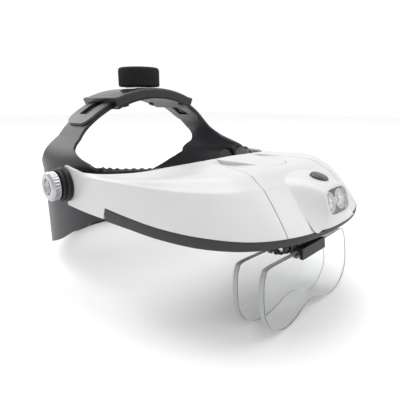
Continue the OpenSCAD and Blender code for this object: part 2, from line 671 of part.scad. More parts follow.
// ---- Magnifier bracket ------------------------------------------------------
hinge_y = -111.5;
hinge_z = 48.3;
pin_d = 4;
lug_x = 14.5;
lug_t = 7;
module at_hinge() { translate([0, hinge_y, hinge_z]) children(); }
module bracket_mount() {
    color(black) difference() {
        union() {
            translate([-24, hinge_y - 7, plate_z - 3]) cube([48, 20, 2.98]);
            on_both_sides() at_hinge() {
                translate([lug_x, -4.5, 0]) cube([lug_t, 9, plate_z - 3 - hinge_z]);
                translate([lug_x, 0, 0]) along_x() cylinder(r = 4.5, h = lug_t);
                translate([lug_x + lug_t, 0, 0]) along_x() cylinder(r = 3.6, h = 5);
            }
        }
        at_hinge() translate([-40, 0, 0]) along_x() cylinder(d = pin_d + 0.02, h = 80);
    }
}
module hinge_pin() {
    color(steel) at_hinge() translate([-lug_x - lug_t - 4, 0, 0]) along_x()
        cylinder(d = pin_d, h = 2 * (lug_x + lug_t + 4));
}
lens_front_y = -119;                   // front face of the front plate at its top
// Frame that leans with the plates, its origin on the hinge axis.
module leaning() { at_hinge() rotate([-lens_lean, 0, 0]) children(); }
clip_w = 28;
front_in = lens_front_y - hinge_y + 2.2;
module lens_bracket() {
    color(black) difference() {
        union() {
            at_hinge() translate([-lug_x + gap, 0, 0]) along_x()
                cylinder(r = 5.2, h = 2 * (lug_x - gap));
            leaning() {
                clip_block(front_in - 2.4);
                clip_block(front_in - 2.4 + lens_pitch);
                translate([-10, front_in - 2.4, -7.2]) cube([20, lens_pitch + 5, 3.4]);
            }
        }
        at_hinge() translate([-40, 0, 0]) along_x() cylinder(d = pin_d + 2 * run, h = 80);
        leaning() for (k = [0, 1]) translate([-clip_w, front_in + k * lens_pitch, -40])
            cube([2 * clip_w, lens_t + 0.1, 40 - 4.6]);
    }
}
// Block with a slot below for one plate.
module clip_block(y) {
    translate([-clip_w / 2, y, -9.4]) cube([clip_w, lens_t + 4.8, 6.8]);
}
half_lens = [[0, -5.0], [22, -5.0], [44, -4.8], [48.6, -7.6], [50.8, -14], [51.6, -24],
    [50.6, -32.5], [45, -40.6], [33, -46.2], [20, -45.4], [9, -41.6], [0, -40.2]];
lens_outline = concat([for (i = [0 : 44]) curve(half_lens, i / 4)],
    [for (i = [43 : -1 : 1]) let (p = curve(half_lens, i / 4)) [-p[0], p[1]]]);
module plate(k) {
    color(clear) leaning() translate([0, front_in + 0.05 + k * lens_pitch + lens_t, 0])
        rotate([90, 0, 0]) linear_extrude(lens_t) polygon(lens_outline);
}
module lens_front() { plate(0); }
module lens_rear() { plate(1); }

// ---- Output -----------------------------------------------------------------
headband();
crown_strap_left();
crown_strap_right();
forehead_pad();
housing_cover();
housing_base();
housing_screws();
ratchet_knob();
ratchet_pinion();
knob_screw();
detent_spring();
rack_tongue_left();
rack_tongue_right();
pivot_bolts();
pivot_bushes();
pivot_washers();
side_knob_left();
side_knob_right();
visor_shell();
lower_trim();
front_cover();
battery_cover();
underplate();
visor_screws();
battery_tray();
batteries();
battery_contacts();
battery_springs();
push_button();
button_spring();
button_switch();
led_board();
leds();
reflectors();
lamp_window();
lamp_bezel();
bracket_mount();
hinge_pin();
lens_bracket();
lens_front();
lens_rear();
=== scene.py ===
import math
import bpy
import numpy as np
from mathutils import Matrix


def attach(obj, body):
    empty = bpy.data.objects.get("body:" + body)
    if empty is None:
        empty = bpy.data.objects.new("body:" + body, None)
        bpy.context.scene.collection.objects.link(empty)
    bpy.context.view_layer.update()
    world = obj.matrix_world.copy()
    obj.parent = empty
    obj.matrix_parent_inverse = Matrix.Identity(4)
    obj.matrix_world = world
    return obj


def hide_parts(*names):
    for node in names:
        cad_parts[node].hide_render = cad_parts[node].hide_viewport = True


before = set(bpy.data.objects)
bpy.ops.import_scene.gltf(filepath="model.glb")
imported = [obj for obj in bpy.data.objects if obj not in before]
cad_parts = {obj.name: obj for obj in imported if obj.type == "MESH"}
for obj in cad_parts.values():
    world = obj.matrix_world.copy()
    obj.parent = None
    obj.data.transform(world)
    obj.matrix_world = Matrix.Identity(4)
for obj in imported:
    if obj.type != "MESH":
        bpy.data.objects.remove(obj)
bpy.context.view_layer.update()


# ---- Camera -------------------------------------------------------------------
# A 32 mm lens in front of the wearer's right shoulder, a little above the visor, looking
# down along the object so that the near arm, the crown knob and the plates all show.
camera = bpy.data.objects.new("camera", bpy.data.cameras.new("camera"))
bpy.context.scene.collection.objects.link(camera)
camera.data.lens = 32.4
camera.data.sensor_width = 36
camera.location = (-0.1966, -0.214, 0.1313)
camera.rotation_euler = (math.radians(90 - 15.5), 0, math.radians(-45.5))
bpy.context.scene.camera = camera


# ---- Floor and light ------------------------------------------------------------
# A white sweep under the object, with wide soft boxes above, in front and behind, and a
# pale sky, as on a small product table.
def new_object(name, verts, faces, smooth=True):
    """A mesh object at the origin from vertices in millimetres and faces of indices."""
    mesh = bpy.data.meshes.new(name)
    mesh.from_pydata((np.asarray(verts, float) * 0.001).tolist(), [],
                     faces.tolist() if isinstance(faces, np.ndarray) else faces)
    mesh.polygons.foreach_set("use_smooth", [smooth] * len(mesh.polygons))
    mesh.update()
    obj = bpy.data.objects.new(name, mesh)
    bpy.context.scene.collection.objects.link(obj)
    return obj


def finish_material(name, colour, rough, **sockets):
    """A Principled material with its even values set on the shader's own sockets."""
    mat = bpy.data.materials.new(name)
    mat.use_nodes = True
    shader = mat.node_tree.nodes["Principled BSDF"]
    shader.inputs["Base Color"].default_value = (*colour, 1)
    shader.inputs["Roughness"].default_value = rough
    for socket, value in sockets.items():
        shader.inputs[socket.replace("_", " ")].default_value = value
    return mat


floor_side = 3000
floor = new_object("floor", [[-floor_side, -floor_side, 0], [floor_side, -floor_side, 0],
                             [floor_side, floor_side, 0], [-floor_side, floor_side, 0]],
                   [(0, 1, 2, 3)])
floor.data.materials.append(finish_material("floor_paper", (0.95, 0.95, 0.95), 0.9))

world = bpy.data.worlds.new("pale_sky")
bpy.context.scene.world = world
world.use_nodes = True
world.node_tree.nodes["Background"].inputs["Color"].default_value = (1, 1, 1, 1)
world.node_tree.nodes["Background"].inputs["Strength"].default_value = 1.0
bpy.context.scene.view_settings.view_transform = "Standard"

for lamp_name, place, size, power in [
        ("box_above", (0.1, 0.2, 1.1), 0.9, 6.0),
        ("box_front", (0.9, -0.9, 0.9), 0.7, 3.0),
        ("box_behind", (-0.2, 1.1, 0.7), 0.7, 3.0)]:
    lamp = bpy.data.lights.new(lamp_name, "AREA")
    lamp.size = size
    lamp.energy = power
    box = bpy.data.objects.new(lamp_name, lamp)
    bpy.context.scene.collection.objects.link(box)
    box.location = place
    aim = np.array([0, 0, 0.08]) - np.array(place)
    box.rotation_euler = (math.atan2(math.hypot(aim[0], aim[1]), -aim[2]), 0,
                          math.atan2(aim[1], aim[0]) - math.pi / 2)


# ---- Head band with its crown straps ---------------------------------------------
# One black moulding in flexible plastic, 2.2 mm thick: a band that dips from the brow to
# the nape, and two straps that grow out of its sides and run up to the crown ratchet.
band_half_w, band_half_l, band_cy, band_wall = 86.3, 91.5, 43.5, 2.2
crown_y, crown_z, crown_r, strap_wall = 53.0, 43.1, 92.0, 1.8
outer_r = crown_r + strap_wall + 0.3
strap_end = 22.9
band_top = np.array([[-48, 88], [-30, 88], [-8, 86.5], [20, 84], [60, 80.5], [78, 79], [90, 72],
                     [106, 60], [124, 47], [135, 40]], float)
band_foot = np.array([[-48, 57], [-30, 57.5], [-10, 54.5], [10, 46], [50, 26], [90, 12],
                      [110, 6], [124, 1.5], [135, 0]], float)
strap_front = np.array([[70, -8], [82, -6], [90, 2], [93.5, 14], [98, 27], [104, 34],
                        [112, 36.5], [125, 35.5]], float)
strap_rear = np.array([[70, 92], [79, 84], [86, 74.5], [96, 68.6], [104, 67.6], [112, 68.8],
                       [125, 70.5]], float)
side_rise = np.array([[band_half_w - 1.1, 80], [83.4, 89], [79.8, 95.8], [75.1, 101.0],
                      [70.0, 105.2]])


def curve(p, s):
    """Catmull-Rom curve through the points p at the parameters s, one whole step a point."""
    p = np.asarray(p, float)
    s = np.asarray(s, float)
    n = len(p) - 1
    i = np.clip(np.floor(s).astype(int), 0, n - 1)
    t = (s - i)[..., None]
    a, b = p[np.maximum(i - 1, 0)], p[i]
    c, d = p[i + 1], p[np.minimum(i + 2, n)]
    return 0.5 * (2 * b + (c - a) * t + (2 * a - 5 * b + 4 * c - d) * t ** 2
                  + (3 * b - 3 * c + d - a) * t ** 3)


def height(p, x):
    """Second value of the curve through p where its first value is x."""
    x = np.clip(x, p[0, 0], p[-1, 0])
    i = np.clip(np.searchsorted(p[:, 0], x, side="right") - 1, 0, len(p) - 2)
    return curve(p, i + (x - p[i, 0]) / (p[i + 1, 0] - p[i, 0]))[..., 1]


def ease(a, b, v):
    """0 before a, 1 after b and a smooth step between."""
    t = np.clip((v - a) / (b - a), 0, 1)
    return t * t * (3 - 2 * t)


def band_point(angle, off=0.0):
    """Plan point of the band at an angle from the brow: half an oval of power 2.3 in front
    and of power 2 behind, grown by off."""
    n = np.where(np.cos(angle) > 0, 2.3, 2.0)
    power = lambda v: np.sign(v) * np.abs(v) ** (2 / n)
    return np.stack([(band_half_w + off) * power(np.sin(angle)),
                     band_cy - (band_half_l + off) * power(np.cos(angle))], -1)


def band_angle(y):
    """The angle at which the band reaches y on its left side."""
    c = (band_cy - y) / band_half_l
    return np.arccos(np.sign(c) * np.abs(c) ** (np.where(c > 0, 2.3, 2.0) / 2))


def grid_faces(rows, cols, wrap=False):
    """Quads between the points of a grid, row by row; wrap joins the last column to the first."""
    r = np.arange(rows - 1)[:, None]
    c = np.arange(cols if wrap else cols - 1)[None, :]
    d = (c + 1) % cols
    return np.stack([r * cols + c, r * cols + d, (r + 1) * cols + d, (r + 1) * cols + c],
                    -1).reshape(-1, 4)


root_y = (float(height(strap_front, 80.0)), float(height(strap_rear, 80.0)))
root_front, root_rear = (float(band_angle(np.array(y))) for y in root_y)
arc_n, strap_n, rows_n = 48, 41, 15
half_turn = np.concatenate([np.linspace(0, root_front, arc_n)[:-1],
                            np.linspace(root_front, root_rear, strap_n),
                            np.linspace(root_rear, np.pi, arc_n)[1:]])
turn = np.concatenate([half_turn, 2 * np.pi - half_turn[-2:0:-1]])
plan = band_point(turn)
up = np.linspace(0, 1, rows_n)[:, None]
band_lo, band_hi = height(band_foot, plan[:, 1]), height(band_top, plan[:, 1])
flare = 1.6 * ease(95, 130, plan[:, 1]) * (1 - up) ** 2
inward = (plan - [0, band_cy]) / np.linalg.norm(plan - [0, band_cy], axis=1)[:, None]
band_grid = np.concatenate([plan[None] - flare[..., None] * inward[None],
                            (band_lo + (band_hi - band_lo) * up)[..., None]], -1)


def strap_grid(r, root, side):
    """Rows of a strap from the band's top edge over the temple and along the crown arc of
    radius r: each row runs across the strap, and the first is the band's own edge."""
    s = np.linspace(0, len(side_rise) - 1, 22)[1:]
    p = curve(side_rise, s)
    d = curve(side_rise, np.minimum(s + 0.1, 4)) - curve(side_rise, np.maximum(s - 0.1, 0))
    lean = np.stack([d[:, 1], -d[:, 0]], -1) / np.linalg.norm(d, axis=1)[:, None]
    shift = (r - np.hypot(side_rise[-1, 0], side_rise[-1, 1] - crown_z)) * ease(1.2, 4, s)
    p = p + lean * (shift + strap_wall / 2)[:, None]
    start = math.atan2(side_rise[-1, 0], side_rise[-1, 1] - crown_z)
    a = np.linspace(start, math.radians(strap_end), 16)[1:]
    out = r + strap_wall / 2
    x = np.concatenate([p[:, 0], out * np.sin(a)])
    z = np.concatenate([p[:, 1], crown_z + out * np.cos(a)])
    k = np.linspace(0, 1, strap_n)[None]
    front, rear = height(strap_front, z)[:, None], height(strap_rear, z)[:, None]
    y = front + (rear - front) * k
    first = root[:, 1][None]
    settle = ease(80, 90, z)[:, None]
    y = y * settle + first * (1 - settle)
    soft = (1 - ease(76, 104, z))[:, None]
    bow = np.abs(band_point(band_angle(y), -1.1)[..., 0]) - (band_half_w - 1.1)
    x = x[:, None] + soft * bow
    z = np.broadcast_to(z[:, None], y.shape)
    lift = ease(80, 89, z)
    z = z * lift + (root[:, 2][None] + (z - 80) * (89 - root[:, 2][None]) / 9) * (1 - lift)
    return np.stack([side * x, y, z], -1)


left_cols = np.arange(arc_n - 1, arc_n - 1 + strap_n)
right_cols = (len(turn) - left_cols) % len(turn)
verts = [band_grid.reshape(-1, 3)]
quads = [grid_faces(rows_n, len(turn), True)]
for side, radius, cols in [(1, outer_r, left_cols), (-1, crown_r, right_cols)]:
    grid = strap_grid(radius, band_grid[-1, cols], side)
    base = sum(len(v) for v in verts)
    ids = np.concatenate([((rows_n - 1) * len(turn) + cols)[None],
                          base + np.arange(grid.shape[0] * strap_n).reshape(-1, strap_n)])
    q = np.stack([ids[:-1, :-1], ids[:-1, 1:], ids[1:, 1:], ids[1:, :-1]], -1).reshape(-1, 4)
    verts.append(grid.reshape(-1, 3))
    quads.append(q if side > 0 else q[:, ::-1])
head_band = new_object("head_band", np.concatenate(verts), np.concatenate(quads))


def thicken(obj, wall, round_over=0.0, segments=3):
    """Gives a skin its wall, inwards, and rounds the wall's edges."""
    solid = obj.modifiers.new("wall", "SOLIDIFY")
    solid.thickness = wall * 0.001
    solid.offset = -1
    solid.use_even_offset = True
    if round_over:
        bevel = obj.modifiers.new("edges", "BEVEL")
        bevel.width = round_over * 0.001
        bevel.segments = segments
        bevel.limit_method = "ANGLE"
        bevel.angle_limit = math.radians(50)


def moulded(name, colour, rough, grain=0.35, scale=900.0, drift=0.04, **sockets):
    """Moulded plastic: fine grain in the bump, broad drift in the roughness and a faint
    change of shade, all from noise on object coordinates."""
    mat = finish_material(name, colour, rough, **sockets)
    tree = mat.node_tree
    shader = tree.nodes["Principled BSDF"]
    place = tree.nodes.new("ShaderNodeTexCoord")
    fine = tree.nodes.new("ShaderNodeTexNoise")
    fine.inputs["Scale"].default_value = scale
    fine.inputs["Detail"].default_value = 3
    broad = tree.nodes.new("ShaderNodeTexNoise")
    broad.inputs["Scale"].default_value = 28
    broad.inputs["Detail"].default_value = 4
    bump = tree.nodes.new("ShaderNodeBump")
    bump.inputs["Strength"].default_value = grain
    bump.inputs["Distance"].default_value = 0.00012
    spread = tree.nodes.new("ShaderNodeMapRange")
    spread.inputs["To Min"].default_value = max(0.02, rough - drift)
    spread.inputs["To Max"].default_value = rough + drift
    shade = tree.nodes.new("ShaderNodeMix")
    shade.data_type = "RGBA"
    shade.inputs["A"].default_value = (*[c * 0.93 for c in colour], 1)
    shade.inputs["B"].default_value = (*[min(1, c * 1.07) for c in colour], 1)
    for noise in (fine, broad):
        tree.links.new(place.outputs["Object"], noise.inputs["Vector"])
    tree.links.new(fine.outputs["Fac"], bump.inputs["Height"])
    tree.links.new(bump.outputs["Normal"], shader.inputs["Normal"])
    tree.links.new(broad.outputs["Fac"], spread.inputs["Value"])
    tree.links.new(spread.outputs["Result"], shader.inputs["Roughness"])
    tree.links.new(broad.outputs["Fac"], shade.inputs["Factor"])
    tree.links.new(shade.outputs["Result"], shader.inputs["Base Color"])
    return mat


thicken(head_band, band_wall, 0.7)
band_plastic = moulded("band_plastic", (0.013, 0.013, 0.018), 0.4, grain=0.5,
                       Specular_IOR_Level=0.36)
head_band.data.materials.append(band_plastic)
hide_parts("headband", "crown_strap_left", "crown_strap_right")
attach(head_band, "headband")


# ---- Forehead pad -----------------------------------------------------------------
# A soft dark foam strip stuck inside the brow, puffed between its edges, with pleats across
# it that make its top edge bumpy. It is filled out by a short cloth run on the foam's skin.
pad_span, pad_wall, pad_foot = math.radians(69), 3.2, 63.5
pad_t = np.linspace(-pad_span, pad_span, 121)
pad_u = np.linspace(0, 2 * np.pi, 28, endpoint=False)
end_taper = ease(0, 1, (pad_span - np.abs(pad_t)) / 0.12) * 0.75 + 0.25
pad_inset = -band_wall - 1.3 - pad_wall / 2
pad_mid = band_point(pad_t, pad_inset)
pad_out = np.stack([np.sin(pad_t), -np.cos(pad_t)], -1)
pad_high, pleat_pitch = 89.8, 5.6


def rim(v, e):
    """v raised to the power e with its sign kept: a squarer or rounder circle."""
    return np.sign(v) * np.abs(v) ** e


puffed = rim(np.cos(pad_u), 0.8) * pad_wall / 2 * end_taper[:, None]
pad_grid = np.stack([
    pad_mid[:, None, 0] + pad_out[:, None, 0] * puffed,
    pad_mid[:, None, 1] + pad_out[:, None, 1] * puffed,
    (pad_foot + pad_high) / 2 + rim(np.sin(pad_u), 0.55) * (pad_high - pad_foot) / 2
    * (0.35 + 0.65 * end_taper[:, None])], -1)
pad_faces = grid_faces(len(pad_t), len(pad_u), True)[:, ::-1].tolist()
pad_faces += [list(range(len(pad_u))),
              [(len(pad_t) - 1) * len(pad_u) + k for k in range(len(pad_u))][::-1]]
pad = new_object("brow_pad", pad_grid.reshape(-1, 3), pad_faces)
bpy.context.view_layer.objects.active = pad


def settle(obj):
    """Applies the modifiers of obj to its mesh."""
    solved = bpy.data.meshes.new_from_object(
        obj.evaluated_get(bpy.context.evaluated_depsgraph_get()))
    obj.modifiers.clear()
    obj.data = solved


def points(obj):
    """Vertex places of obj, in millimetres, as an array."""
    co = np.empty(len(obj.data.vertices) * 3)
    obj.data.vertices.foreach_get("co", co)
    return co.reshape(-1, 3) * 1000


def place_points(obj, co):
    """Puts vertex places, in millimetres, back into obj."""
    obj.data.vertices.foreach_set("co", (co * 0.001).ravel())
    obj.data.update()


skin = pad.modifiers.new("skin", "REMESH")
skin.mode = "VOXEL"
skin.voxel_size = 0.0022
skin.use_smooth_shade = True
settle(pad)
start = points(pad)
puff = pad.modifiers.new("puff", "CLOTH")
puff.settings.use_pressure = True
puff.settings.uniform_pressure_force = 4
puff.settings.effector_weights.gravity = 0
for step in range(1, 21):
    bpy.context.scene.frame_set(step)
settle(pad)
bpy.context.scene.frame_set(1)
move = points(pad) - start
far = np.linalg.norm(move, axis=1)[:, None]
place_points(pad, start + move * np.minimum(1, 1.0 / np.maximum(far, 1e-6)))
soft = pad.modifiers.new("soft", "SUBSURF")
soft.levels = soft.render_levels = 1
settle(pad)
co = points(pad)
at = np.arctan2(co[:, 0] / band_half_w, (band_cy - co[:, 1]) / band_half_l)
across = (co[:, 2] - pad_foot) / (pad_high - pad_foot)
pleat = np.cos(at * band_half_l / pleat_pitch * 2 * np.pi)
away = (co[:, :2] - [0, band_cy]) / np.linalg.norm(co[:, :2] - [0, band_cy], axis=1)[:, None]
inner = ease(0.2, 1.2, -(np.sum(co[:, :2] * away, 1) - np.sum(
    band_point(at, pad_inset) * away, 1)))
dent = inner * (0.35 - 0.35 * pleat) * ease(0, 0.12, across) * ease(0, 0.12, 1 - across)
co[:, :2] += away * dent[:, None]
co[:, 2] += 0.55 * (pleat - 0.3) * ease(0.8, 1.0, across)
place_points(pad, co)
pad.data.polygons.foreach_set("use_smooth", [True] * len(pad.data.polygons))
pad_foam = moulded("pad_foam", (0.017, 0.017, 0.019), 0.82, grain=0.9, scale=520.0,
                   Sheen_Weight=0.25, Sheen_Roughness=0.6)
pad.data.materials.clear()
pad.data.materials.append(pad_foam)
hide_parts("forehead_pad")
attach(pad, "headband")


# ---- Ratchet housing ----------------------------------------------------------------
# A curved box moulded in satin black plastic that holds the two straps on the crown. Its
# ends have raised lips, and a thin base plate closes it below with four small screws.
housing_w, housing_half, roof_r, housing_r = 48.0, 24.7, 95.3, 98.0
foot_r = crown_r - strap_wall / 2 - 0.3


def rounded_loop(corners, radius, n=6):
    """Closed outline through the corners, each rounded by an arc of its own radius drawn as
    a quadratic curve with n steps."""
    corners = np.asarray(corners, float)
    radius = np.broadcast_to(np.asarray(radius, float), len(corners))
    before, after = np.roll(corners, 1, 0) - corners, np.roll(corners, -1, 0) - corners
    a = corners + before / np.linalg.norm(before, axis=1)[:, None] * radius[:, None]
    c = corners + after / np.linalg.norm(after, axis=1)[:, None] * radius[:, None]
    t = np.linspace(0, 1, n)[None, :, None]
    return ((1 - t) ** 2 * a[:, None] + 2 * t * (1 - t) * corners[:, None]
            + t ** 2 * c[:, None]).reshape(-1, 2)


half = housing_w / 2
section = rounded_loop([[-half, foot_r], [-half, housing_r], [half, housing_r], [half, foot_r],
                        [18, foot_r], [18, roof_r], [-18, roof_r], [-18, foot_r]],
                       [0.4, 1.8, 1.8, 0.4, 0.3, 0.4, 0.4, 0.3])
arc = np.radians(np.linspace(-housing_half, housing_half, 61))
lip = ease(0, 0.5, np.degrees(np.abs(arc)) - housing_half + 2.0)
body_r = section[None, :, 1] + np.where(section[None, :, 1] > housing_r - 2, 0.8 * lip[:, None], 0)
housing_grid = np.stack([body_r * np.sin(arc)[:, None],
                         crown_y + np.broadcast_to(section[None, :, 0], body_r.shape),
                         crown_z + body_r * np.cos(arc)[:, None]], -1)
n_sec = len(section)
faces = grid_faces(len(housing_grid), n_sec, True).tolist()
faces += [list(range(n_sec))[::-1], [(len(housing_grid) - 1) * n_sec + k for k in range(n_sec)]]
housing = new_object("ratchet_housing", housing_grid.reshape(-1, 3), faces)


def face_outwards(obj):
    """Merges doubles and turns every face of a closed shape outwards."""
    import bmesh
    shape = bmesh.new()
    shape.from_mesh(obj.data)
    bmesh.ops.remove_doubles(shape, verts=shape.verts, dist=1e-6)
    bmesh.ops.triangulate(shape, faces=[f for f in shape.faces if len(f.verts) > 4])
    bmesh.ops.recalc_face_normals(shape, faces=shape.faces)
    shape.to_mesh(obj.data)
    shape.free()
    obj.data.update()


def round_edges(obj, width, segments=2, angle=40):
    """A small bevel on every edge sharper than the angle."""
    bevel = obj.modifiers.new("edges", "BEVEL")
    bevel.width = width * 0.001
    bevel.segments = segments
    bevel.limit_method = "ANGLE"
    bevel.angle_limit = math.radians(angle)
    bevel.harden_normals = True


face_outwards(housing)
round_edges(housing, 0.3)
housing_plastic = moulded("housing_plastic", (0.009, 0.009, 0.011), 0.3, grain=0.25,
                          Specular_IOR_Level=0.4, Coat_Weight=0.12, Coat_Roughness=0.22)
housing.data.materials.append(housing_plastic)
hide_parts("housing_cover")
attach(housing, "headband")


# ---- Ratchet knob ---------------------------------------------------------------------
# A black rubber-faced knob with fine upright ribs round its wall, a rounded top edge and a
# sunk centre for its screw. Turning it draws the two straps together.
knob_d, knob_h = 35.0, 15.7
knob_low = crown_z + housing_r + 1.2
knob_r = knob_d / 2
knob_line = np.array([[0, 0], [9, 0], [knob_r - 1.4, 0], [knob_r - 0.35, 0.4], [knob_r, 1.4],
                      [knob_r, 4], [knob_r, 8], [knob_r, knob_h - 3.2],
                      [knob_r - 0.15, knob_h - 2.0], [knob_r - 0.7, knob_h - 0.8],
                      [knob_r - 1.7, knob_h - 0.15], [knob_r - 3, knob_h], [knob_r - 8, knob_h],
                      [5.2, knob_h], [4.4, knob_h - 0.3], [4.0, knob_h - 1.0],
                      [3.9, knob_h - 5], [0, knob_h - 5]])


def turned(line, n, x, y, z, axis="z", ribs=0, deep=0.0, ribbed=(0, 0)):
    """A shape turned about an axis: the line of (radius, height) points at n angles. Within
    the heights of ribbed, the wall dips by deep between that many ribs."""
    a = np.linspace(0, 2 * np.pi, n, endpoint=False)[:, None]
    r, h = line[None, :, 0], line[None, :, 1]
    if ribs:
        wall = (ease(ribbed[0], ribbed[0] + 1, h) * ease(0, 1, ribbed[1] - h)
                * (r > line[:, 0].max() - 2))
        r = r - deep * wall * (0.5 - 0.5 * np.cos(ribs * a)) ** 1.5
    p, q, h = r * np.cos(a), r * np.sin(a), np.broadcast_to(h, (n, line.shape[0]))
    parts = {"z": (p + x, q + y, h + z), "x": (h + x, p + y, q + z), "-x": (x - h, p + y, q + z)}
    return np.stack(np.broadcast_arrays(*parts[axis]), -1).reshape(-1, 3)


def lathe(name, line, n, x, y, z, axis="z", **ribbing):
    """A closed turned piece from an outline of (radius, height) points, faces outwards."""
    line = np.asarray(line, float)
    m = len(line)
    r = np.arange(n)[:, None]
    c = np.arange(m - 1)[None, :]
    d = (r + 1) % n
    quads = np.stack(np.broadcast_arrays(r * m + c, r * m + c + 1, d * m + c + 1, d * m + c), -1)
    obj = new_object(name, turned(line, n, x, y, z, axis, **ribbing), quads.reshape(-1, 4))
    face_outwards(obj)
    return obj


rib_n, per_rib = 60, 8
knob = lathe("ratchet_knob_grip", knob_line, rib_n * per_rib, 0, crown_y, knob_low, ribs=rib_n,
             deep=0.55, ribbed=(0.8, knob_h - 0.6))
knob_rubber = moulded("knob_rubber", (0.005, 0.005, 0.0055), 0.6, grain=0.4, scale=1400.0,
                      Specular_IOR_Level=0.25)
knob.data.materials.append(knob_rubber)
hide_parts("ratchet_knob")
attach(knob, "ratchet_knob")


# ---- Visor shell ------------------------------------------------------------------------
# A white satin moulding 2.2 mm thick in the shape of a cap's peak: an upright wall with a
# creased shoulder and a bulging top, on two arms that reach back to the side pivots.
arm_out, pivot_y, pivot_z, shell_wall = 89.4, 20.0, 76.0, 2.2
trim_low, notch, crown_lift = 59.3, 2.25, 5.6
arm_low = pivot_z - 14.8
foot_run = [[arm_out, pivot_y, 68.3], [89.2, 2, 68.3], [87.9, -18, 68.3], [86.2, -46, 66.7],
            [83.6, -73, 65.7], [76, -98, 65.1], [60, -117.5, 63.9], [33, -128.8, 62.8],
            [0, -132, 62.2]]
shoulder_run = [[arm_out, pivot_y, 84], [arm_out, 2, 84.5], [88.6, -18, 85], [85.2, -42, 85.3],
                [80, -66, 85.3], [69, -88, 85.3], [52, -102, 85.3], [27, -108.5, 85.3],
                [0, -110, 85.3]]
edge_run = [[89.0, pivot_y, 88.8], [89.4, 4, 87.3], [86, -11, 87], [77, -23.5, 87.3],
            [64, -32.5, 88], [48, -41, 90.2], [32, -47, 91.8], [16, -51, 93], [0, -52, 93.5]]


def whole(run):
    """The left half of a run of points and its mirror image, from arm to arm."""
    p = np.array(run, float)
    return np.concatenate([p, (p * [-1, 1, 1])[-2::-1]])


foot_all, shoulder_all, edge_all = whole(foot_run), whole(shoulder_run), whole(edge_run)


def visor_skin(s, v):
    """Outer skin of the visor at s, from arm (0) round the brow (8) to arm (16), and v, from
    the wall's foot (0) over the shoulder (1) to the top's inner edge (2). The wall bulges
    a little and the top is a smooth curve through a lifted middle."""
    s, v = np.broadcast_arrays(np.asarray(s, float), np.asarray(v, float))
    near = np.minimum(s, 16 - s)
    f = curve(foot_all, s)
    arm = arm_low - 0.8 * ease(0, 2, near)
    f[..., 2] = arm + (f[..., 2] - arm) * ease(notch - 0.03, notch, near)
    c, e = curve(shoulder_all, s), curve(edge_all, s)
    wide = np.linalg.norm((e - c)[..., :2], axis=-1)
    lift = crown_lift * ease(3, 60, wide)
    t = np.clip(v, 0, 1)[..., None]
    out = f - c
    out[..., 2] = 0
    wall = f + (c - f) * t + 0.2 * out * t * (1 - t)
    u = np.clip(v - 1, 0, 1)
    top = c + (e - c) * u[..., None]
    bulge = np.interp(u, *crown_line)
    top[..., 2] += lift * bulge
    return np.where((v <= 1)[..., None], wall, top)


u_line = np.linspace(0, 1, 60)
crown_line = (u_line, curve([[0.0], [0.8], [0.55], [0.0]],
                            np.interp(u_line, [0, 0.2, 0.55, 1.0], [0, 1, 2, 3]))[:, 0])


def shoulder_rows(n_wall, n_top):
    """Row values of v, closer together near the shoulder's crease."""
    a = np.linspace(0, 1, n_wall)
    b = np.linspace(0, 1, n_top)
    return np.concatenate([(1 - (1 - a) ** 1.5)[:-1], 1 + (b ** 1.5)])


def plan_line(p):
    """Half-width of the separate front cover at a point's y."""
    return 22 + (-30 - p[..., 1]) * 24 / 110


def cover_edge(v, grow):
    """The s at which each row v of the skin meets the front cover's edge, shifted by grow."""
    s = np.linspace(4.0, 8.0, 400)[None, :]
    p = visor_skin(s, v[:, None])
    d = p[..., 0] - plan_line(p) - grow
    i = np.argmax(d < 0, axis=1)
    r = np.arange(len(v))
    k = d[r, i - 1] / (d[r, i - 1] - d[r, i])
    return s[0, i - 1] + k * (s[0, i] - s[0, i - 1])


rows_v = shoulder_rows(26, 40)
seam_s = cover_edge(rows_v, 0.3)


def skin_object(name, grid, flip=False):
    """A mesh object from a grid of skin points, faces outwards."""
    q = grid_faces(*grid.shape[:2])
    return new_object(name, grid.reshape(-1, 3), q[:, ::-1] if flip else q)


def crease_softened(grid, passes, lo, hi):
    """Evens out rows lo to hi of a grid, to round the crease, with a few averaging passes."""
    g = grid.copy()
    for _ in range(passes):
        g[lo:hi] = 0.5 * g[lo:hi] + 0.25 * (g[lo - 1:hi - 1] + g[lo + 1:hi + 1])
    return g


near_notch = np.array([notch - 0.03, notch]) / 6.3
spread = np.sort(np.concatenate([np.linspace(0, 1, 150), near_notch]))[None]
left = visor_skin(spread * seam_s[:, None], rows_v[:, None])
left = crease_softened(left, 10, 20, 34)
right = left * [-1, 1, 1]
shell_left = skin_object("visor_left", left, True)
shell_right = skin_object("visor_right", right)
visor_white = moulded("visor_white", (0.56, 0.56, 0.565), 0.34, grain=0.12, scale=1500.0,
                      drift=0.03, Coat_Weight=0.15, Coat_Roughness=0.15)
for part in (shell_left, shell_right):
    thicken(part, shell_wall, 0.35)
    part.data.materials.append(visor_white)
    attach(part, "visor")
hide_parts("visor_shell")
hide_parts("visor_shell")


# ---- Front cover --------------------------------------------------------------------------
# A second white moulding that closes the brow between two straight seams. It has an opening
# for the battery cover, and a shallow finger scoop on each side of that opening.
skin_s = np.linspace(4.5, 11.5, 141)[None, :]
skin_v = np.concatenate([np.linspace(0, 1, 30)[:-1], np.linspace(1, 2, 60)])[:, None]
skin_table = visor_skin(skin_s, skin_v)
table_sv = np.stack(np.broadcast_arrays(skin_s, skin_v), -1).reshape(-1, 2)
table_xy = skin_table.reshape(-1, 3)[:, :2]


